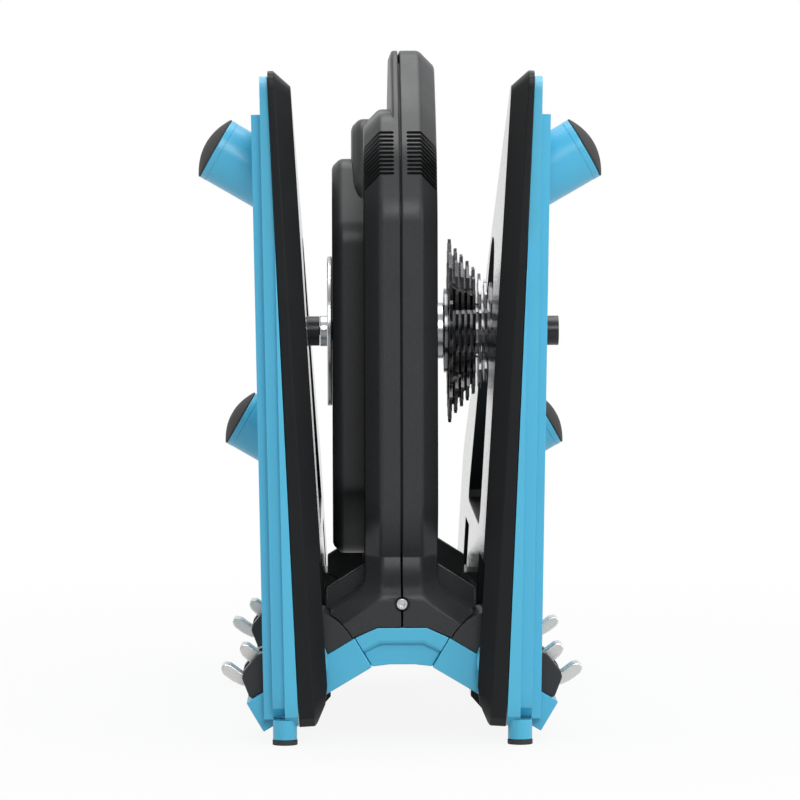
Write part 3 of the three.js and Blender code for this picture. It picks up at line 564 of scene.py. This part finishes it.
def facet_levels(side, face, facet):
    """Levels of a half body, from its rounded seam edge over its facet to its side face."""
    corners = [(SEAM, SEAM_ROUND), (SEAM + SEAM_ROUND, 0.0), (face - facet, 0.0), (face, facet)]
    levels = [corners[0]]
    for before, corner, after in zip(corners, corners[1:], corners[2:]):
        middle = Vector(corner)
        into = Vector(before) - middle
        out = Vector(after) - middle
        reach = min(FACET_ROUND, into.length / 2, out.length / 2)
        for share in CURVE_SHARES:
            low = (middle + into.normalized() * reach).lerp(middle, share)
            high = middle.lerp(middle + out.normalized() * reach, share)
            levels.append(tuple(low.lerp(high, share)))
    levels += [(face + x, facet + moved) for x, moved in FACE_EDGE]
    return [(side * x, moved) for x, moved in levels]


def rear_surface(z):
    """How far forward the housing's rear edge lies at a height."""
    edge = outline_in(HOUSING_PLACE, REAR_SHARES)
    for (high_y, high_z), (low_y, low_z) in zip(edge, edge[1:]):
        if low_z <= z <= high_z:
            return low_y + (high_y - low_y) * (z - low_z) / (high_z - low_z)
    return edge[-1][0]


def vent_cutter(side, index):
    """One cooling slot: a thin bent slab that reaches a little way into the shell."""
    level = VENT_TOP_Z - index * VENT_PITCH
    bend = HALF_WIDTH - FACET
    reach = HALF_WIDTH + SEAM
    round_part = [(VENT_START_X + share * VENT_HEIGHT, width) for share, width in VENT_ROUND_SHARES]
    stations = round_part + [(x, 1.0) for x in (bend - VENT_BEND, bend, bend + VENT_BEND, reach)]
    rings = []
    for x, width in stations:
        beyond = max(0.0, x - bend)
        middle = level - beyond * VENT_SLANT
        half = VENT_HEIGHT * width / 2 * (VENT_SWELL if beyond > 0 else 1.0)
        deep = rear_surface(middle) + beyond * VENT_FOLLOW + VENT_DEPTH
        low, high = middle - half, middle + half
        corners = [(VENT_START_Y, low), (deep, low), (deep, high), (VENT_START_Y, high)]
        rings.append([to_world(side * x, y, z) for y, z in corners])
    return loft("vent", rings)


def skirt(side, end):
    """Foot of a housing half: level sections that flow from its neck out over a bridge."""
    face_y = face_of(end, SKIRT_HALF)
    back_y = face_of(end, -SKIRT_HALF)
    away = -OUTWARD[end]
    rings = []
    for level in SKIRT_LEVELS:
        front = face_y + away * level["sink"] * SKIRT_SINK_SCALE[end]
        section = [(SEAM, front), (level["flat"], front), (level["out"], front + away * SKIRT_FACET),
                   (level["out"], back_y), (SEAM, back_y)]
        rings.append([to_world(side * x, y, level["z"]) for x, y in rounded(section, SKIRT_CORNERS)])
    foot = loft("skirt", rings)
    rib_face = back_y - away * RIB_SPAN
    rib_levels = [(rib_face, RIB_EDGE), (rib_face + away * RIB_EDGE, 0.0), (back_y, 0.0)]
    combine(foot, along("rib", RIB_OUTLINE, rib_levels, radius=RIB_EDGE, side=side), "UNION")
    low, high = sorted((face_y, back_y))
    reach = [(low - TOOL_PAST, 0.0), (high + TOOL_PAST, 0.0)]
    clearing = circle((HINGE_X, HINGE_Z), COVER_CLEARING, SIDES["large"])
    combine(foot, along("clearing", clearing, reach, side=side))
    combine(foot, along("arch", SKIRT_ARCH, reach, side=side))
    return foot


def join_seam(shell, side):
    """The left half's tongue, which closes the seam, and the groove for it in the right half."""
    air = TONGUE["air"] if side > 0 else 0.0
    sink = TONGUE["sink"] - air
    levels = [(-TONGUE["back"], sink), (TONGUE["reach"] + air, sink)]
    tongue = across("tongue", outline_in(HOUSING_PLACE, RIGHT_SHARES), levels, SHELL_ROUND)
    combine(shell, tongue, "DIFFERENCE" if side > 0 else "UNION")


def carve_rooms(shell, side_name, side):
    """Rooms for the rotor, the hub and the screws."""
    start = (-side * TOOL_PAST, 0.0)
    rotor = circle((AXLE_Y, AXLE_Z), ROTOR_ROOM, SIDES["large"])
    combine(shell, across("room", rotor, [start, (side * ROOM_DEPTH[side_name], 0.0)]))
    bore = circle((AXLE_Y, AXLE_Z), BORES[side_name])
    combine(shell, across("bore", bore, [start, (side * BORE_REACH, 0.0)]))
    recess = circle((0.0, SCREW_Z), SCREW_RECESS, SIDES["small"])
    for end in ARM_MIDDLES:
        combine(shell, along("recess", recess, through(face_of(end, SKIRT_HALF), SCREW_SINK)))


def carve_block(shell, node):
    """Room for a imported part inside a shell, with a little air all round."""
    low, high = (Vector(corner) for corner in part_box(node))
    air = Vector((ROOM_AIR, ROOM_AIR, ROOM_AIR)) * MM
    low -= air
    high += air
    rings = [[(x, low.y, low.z), (x, high.y, low.z), (x, high.y, high.z), (x, low.y, high.z)]
             for x in (low.x, high.x)]
    combine(shell, loft("room", rings))


def housing_shell(side_name):
    """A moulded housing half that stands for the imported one."""
    side = SIGNS[side_name]
    shares = RIGHT_SHARES if side > 0 else LEFT_SHARES
    levels = facet_levels(side, HALF_WIDTH, FACET)
    shell = across(side_name + "_housing_shell", outline_in(HOUSING_PLACE, shares), levels, SHELL_ROUND)
    if side < 0:
        for place, face in ((LOBE_PLACE, LOBE_FACE), (STEP_PLACE, STEP_FACE)):
            levels = facet_levels(side, face, LOBE_FACET)
            combine(shell, across("lobe", outline_in(place, LOBE_SHARES), levels, SHELL_ROUND), "UNION")
        levels = facet_levels(side, FIN_FACE, FIN_ROUND)
        combine(shell, across("fin", outline_in(HOUSING_PLACE, RIGHT_SHARES), levels, SHELL_ROUND), "UNION")
    for end in ARM_MIDDLES:
        combine(shell, skirt(side, end), "UNION")
    join_seam(shell, side)
    carve_rooms(shell, side_name, side)
    if side < 0:
        carve_block(shell, "control_board")
        carve_block(shell, "power_inlet")
    for index in range(VENT_COUNT):
        combine(shell, vent_cutter(side, index))
    finish_piece(shell, "root", "black_plastic", side_name + "_housing")


def finish_piece(piece, body, slot, *replaced):
    """Material, rounding, body and slot of a new piece."""
    piece.data.materials.clear()
    piece.data.materials.append(FINISHES[slot])
    soften(piece, EDGE_WIDTHS["other"])
    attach(piece, body)
    if replaced:
        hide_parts(*replaced)


def bridge():
    """The base frame with each bridge's face set back below its rounded lip."""
    body = bpy.data.objects.new("base_frame_body", frame["nodes"]["base_frame"].data.copy())
    bpy.context.scene.collection.objects.link(body)
    weld = body.modifiers.new("weld", "WELD")
    weld.merge_threshold = WELD_REACH
    settle(body)
    for end in ARM_MIDDLES:
        face_y = face_of(end, ARM_HALF)
        into = -OUTWARD[end]
        levels = [(face_y - into * TOOL_PAST, 0.0), (face_y, 0.0)]
        for turn in BRIDGE_TURNS:
            angle = math.radians(turn)
            sunk = BRIDGE_DEPTH * (1 - math.cos(angle))
            levels.append((face_y + into * sunk, BRIDGE_ROUND * math.sin(angle)))
        levels.append((face_y + into * BRIDGE_DEPTH, BRIDGE_ROUND))
        combine(body, along("setback", BRIDGE_SETBACK, levels))
    finish_piece(body, "root", "blue_paint", "base_frame")
    body.modifiers["rounded_edges"].width = EDGE_WIDTHS["leg"]


def latch(side_name, end):
    """A latch block with an open mouth, and a bright lever with two prongs on its pin."""
    side = SIGNS[side_name]
    name = side_name + "_" + end
    middle = ARM_MIDDLES[end]
    ends = edged(middle, LATCH_HALF, LATCH_EDGE)
    block = along(name + "_latch_body", LATCH_BLOCK, ends, radius=LATCH_ROUND, side=side)
    combine(block, along("mouth", MOUTH_OUTLINE, through(middle, MOUTH_HALF), side=side))
    reach = through(middle, TOOL_REACH)
    clearing = circle((HINGE_X, HINGE_Z), KNUCKLE_CLEARING, SIDES["middle"])
    combine(block, along("clearing", clearing, reach, side=side))
    pin_room = circle(LATCH_AXIS, LATCH_PIN_RADIUS + LATCH_PIN_AIR, SIDES["pin"])
    combine(block, along("pin_room", pin_room, reach, side=side))
    finish_piece(block, "root", "black_plastic", name + "_latch_block")
    levels = edged(middle, PRONG_HALF, PRONG_EDGE)
    lever = along(name + "_latch_prongs", LOWER_PRONG, levels, radius=LATCH_ROUND, side=side)
    combine(lever, along("prong", UPPER_PRONG, levels, radius=LATCH_ROUND, side=side), "UNION")
    pin = circle(LATCH_AXIS, LATCH_PIN_RADIUS, SIDES["pin"])
    combine(lever, along("pin", pin, through(middle, LATCH_HALF), side=side), "UNION")
    finish_piece(lever, name + "_latch", "lever_metal", name + "_latch_lever")


def spun(name, profile, start, axis, sides=SIDES["usual"]):
    """A closed body of (distance, radius) points turned about an axis square to Y."""
    axis = Vector(axis).normalized()
    forward = Vector((0.0, 1.0, 0.0))
    aside = axis.cross(forward)
    rings = []
    for distance, radius in profile:
        middle = Vector(start) + axis * distance
        places = [middle + forward * y + aside * z for y, z in circle((0.0, 0.0), radius, sides)]
        rings.append([to_world(*place) for place in places])
    return loft(name, rings)


def dome(start, radius, rise):
    """Points of a shallow dome, from its rim to near its middle."""
    shares = [1 - index / DOME_STEPS for index in range(DOME_STEPS)]
    return [(start + rise * (1 - share * share), radius * share) for share in shares]


def domed_foot(side_name, end):
    """A leg foot's curved end with a thin rubber pad over it."""
    side = SIGNS[side_name]
    x, y, z = FOOT_ENDS[end]
    place = (side * x, y, z)
    axis = (side * math.cos(FOOT_TILT), 0.0, math.sin(FOOT_TILT))
    body = side_name + "_leg"
    name = side_name + "_" + end
    collar_start = FOOT_COLLAR["start"]
    collar_end = FOOT_COLLAR["end"]
    edge = FOOT_RADIUS + FOOT_COLLAR["proud"]
    plug = [(-FOOT_PLUG, FOOT_PLUG_RADIUS), (collar_start, FOOT_PLUG_RADIUS), (collar_start, edge)]
    blue = spun(name + "_foot_end", plug + dome(collar_end, edge, FOOT_DOME), place, axis)
    finish_piece(blue, body, "blue_paint")
    seat = collar_end + FOOT_SKIN["gap"]
    inner = dome(seat, edge - FOOT_SKIN["gap"], FOOT_DOME)
    outer = dome(seat + FOOT_SKIN["rim"], edge, FOOT_SKIN["dome"])
    pad = spun(name + "_foot_skin", list(reversed(inner)) + [(seat, edge)] + outer, place, axis)
    finish_piece(pad, body, "rubber", name + "_foot_pad")


def hub_plate():
    """The turned plate with its boss round the axle's left end."""
    place = (HUB_PLATE_X, AXLE_Y, AXLE_Z)
    plate = spun("left_hub_plate", HUB_PLATE, place, (-1.0, 0.0, 0.0), SIDES["large"])
    bore = circle((AXLE_Y, AXLE_Z), HUB_BORE, SIDES["middle"])
    combine(plate, across("bore", bore, through(HUB_PLATE_X, TOOL_REACH)))
    finish_piece(plate, "root", "steel", "left_hub_disc")


def dress_frame():
    """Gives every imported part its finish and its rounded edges."""
    slots = {row["node"]: row["material_slot"] for row in frame["record"]["subparts"]}
    for node, piece in frame["nodes"].items():
        piece.data.materials.clear()
        piece.data.materials.append(FINISHES[slots[node]])
        soften(piece, sharpness(node))


def add_camera():
    """A long lens behind the trainer."""
    data = bpy.data.cameras.new("camera")
    data.lens = CAMERA_LENS
    data.clip_end = CAMERA_FAR
    camera = bpy.data.objects.new("camera", data)
    camera.location = CAMERA_PLACE
    aim = (CAMERA_AIM - CAMERA_PLACE).to_track_quat("-Z", "Y").to_matrix().to_4x4()
    roll = Matrix.Rotation(math.radians(CAMERA_ROLL), 4, "Z")
    camera.rotation_euler = (aim @ roll).to_euler()
    bpy.context.scene.collection.objects.link(camera)
    bpy.context.scene.camera = camera


def studio_level(tree):
    """Brightness of the room by direction: white behind and overhead, dimmer towards the camera."""
    direction = tree.nodes.new("ShaderNodeTexCoord").outputs["Generated"]
    parts = tree.nodes.new("ShaderNodeSeparateXYZ")
    tree.links.new(direction, parts.inputs["Vector"])
    levels = []
    for side in WORLD_SIDES.values():
        value = parts.outputs[side["axis"]]
        bright = WORLD_DIM + (WORLD_BRIGHT - WORLD_DIM) * side["share"]
        levels.append(mapped(tree, value, side["start"], side["end"], WORLD_DIM, bright, "SMOOTHSTEP"))
    level = levels[0]
    for other in levels[1:]:
        level = worked_out(tree, "MAXIMUM", level, other)
    return level


def add_lights():
    """Soft panels and a pale room."""
    for name, panel in PANELS.items():
        data = bpy.data.lights.new(name, "AREA")
        data.shape = "DISK"
        data.size = panel["size"]
        data.energy = panel["watts"]
        lamp = bpy.data.objects.new(name, data)
        lamp.location = panel["place"]
        aim = PANEL_AIM - lamp.location
        lamp.rotation_euler = aim.to_track_quat("-Z", "Y").to_euler()
        bpy.context.scene.collection.objects.link(lamp)
    world = bpy.data.worlds.new("studio")
    bpy.context.scene.world = world
    world.use_nodes = True
    tree = world.node_tree
    lit = tree.nodes["Background"]
    lit.inputs["Color"].default_value = WHITE
    tree.links.new(studio_level(tree), lit.inputs["Strength"])
    seen = tree.nodes.new("ShaderNodeBackground")
    seen.inputs["Color"].default_value = WHITE
    seen.inputs["Strength"].default_value = 1.0
    mix = tree.nodes.new("ShaderNodeMixShader")
    path = tree.nodes.new("ShaderNodeLightPath")
    tree.links.new(path.outputs["Is Camera Ray"], mix.inputs["Fac"])
    tree.links.new(lit.outputs["Background"], mix.inputs[1])
    tree.links.new(seen.outputs["Background"], mix.inputs[2])
    tree.links.new(mix.outputs["Shader"], tree.nodes["World Output"].inputs["Surface"])


def floor_material():
    """A pale floor that keeps the object's shadow and meets the white behind it."""
    material = bpy.data.materials.new("floor")
    material.use_nodes = True
    tree = material.node_tree
    paint = tree.nodes["Principled BSDF"]
    paint.inputs["Base Color"].default_value = FLOOR_GREY
    paint.inputs["Roughness"].default_value = FLOOR_ROUGHNESS
    glow = tree.nodes.new("ShaderNodeEmission")
    glow.inputs["Color"].default_value = WHITE
    path = tree.nodes.new("ShaderNodeLightPath")
    either = worked_out(tree, "MAXIMUM", path.outputs["Is Camera Ray"], path.outputs["Is Glossy Ray"])
    place = tree.nodes.new("ShaderNodeVectorMath")
    place.operation = "LENGTH"
    tree.links.new(tree.nodes.new("ShaderNodeTexCoord").outputs["Object"], place.inputs[0])
    distance = place.outputs["Value"]
    level = mapped(tree, distance, FLOOR_GLOW["near"], FLOOR_GLOW["far"], FLOOR_GLOW["share"])
    mix = tree.nodes.new("ShaderNodeMixShader")
    tree.links.new(worked_out(tree, "MULTIPLY", either, level), mix.inputs["Fac"])
    tree.links.new(paint.outputs["BSDF"], mix.inputs[1])
    tree.links.new(glow.outputs["Emission"], mix.inputs[2])
    tree.links.new(mix.outputs["Shader"], tree.nodes["Material Output"].inputs["Surface"])
    return material


def add_floor():
    """A flat floor."""
    corners = [(-1, -1), (1, -1), (1, 1), (-1, 1)]
    mesh = bpy.data.meshes.new("floor")
    mesh.from_pydata([(x * FLOOR_REACH, y * FLOOR_REACH, 0.0) for x, y in corners], [], [(0, 1, 2, 3)])
    mesh.materials.append(floor_material())
    floor = bpy.data.objects.new("floor", mesh)
    bpy.context.scene.collection.objects.link(floor)


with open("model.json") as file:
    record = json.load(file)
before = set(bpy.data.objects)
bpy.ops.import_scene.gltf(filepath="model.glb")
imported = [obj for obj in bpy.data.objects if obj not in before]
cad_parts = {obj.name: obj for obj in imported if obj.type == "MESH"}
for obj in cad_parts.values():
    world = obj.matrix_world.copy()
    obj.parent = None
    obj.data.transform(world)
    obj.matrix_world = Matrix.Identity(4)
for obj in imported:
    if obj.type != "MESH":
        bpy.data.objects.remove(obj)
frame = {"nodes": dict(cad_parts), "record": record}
packed_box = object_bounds()
dress_frame()
for side_name in SIGNS:
    housing_shell(side_name)
    for end in ARM_MIDDLES:
        latch(side_name, end)
        domed_foot(side_name, end)
bridge()
hub_plate()
add_camera()
add_lights()
add_floor()
bpy.context.scene.view_settings.view_transform = "Standard"
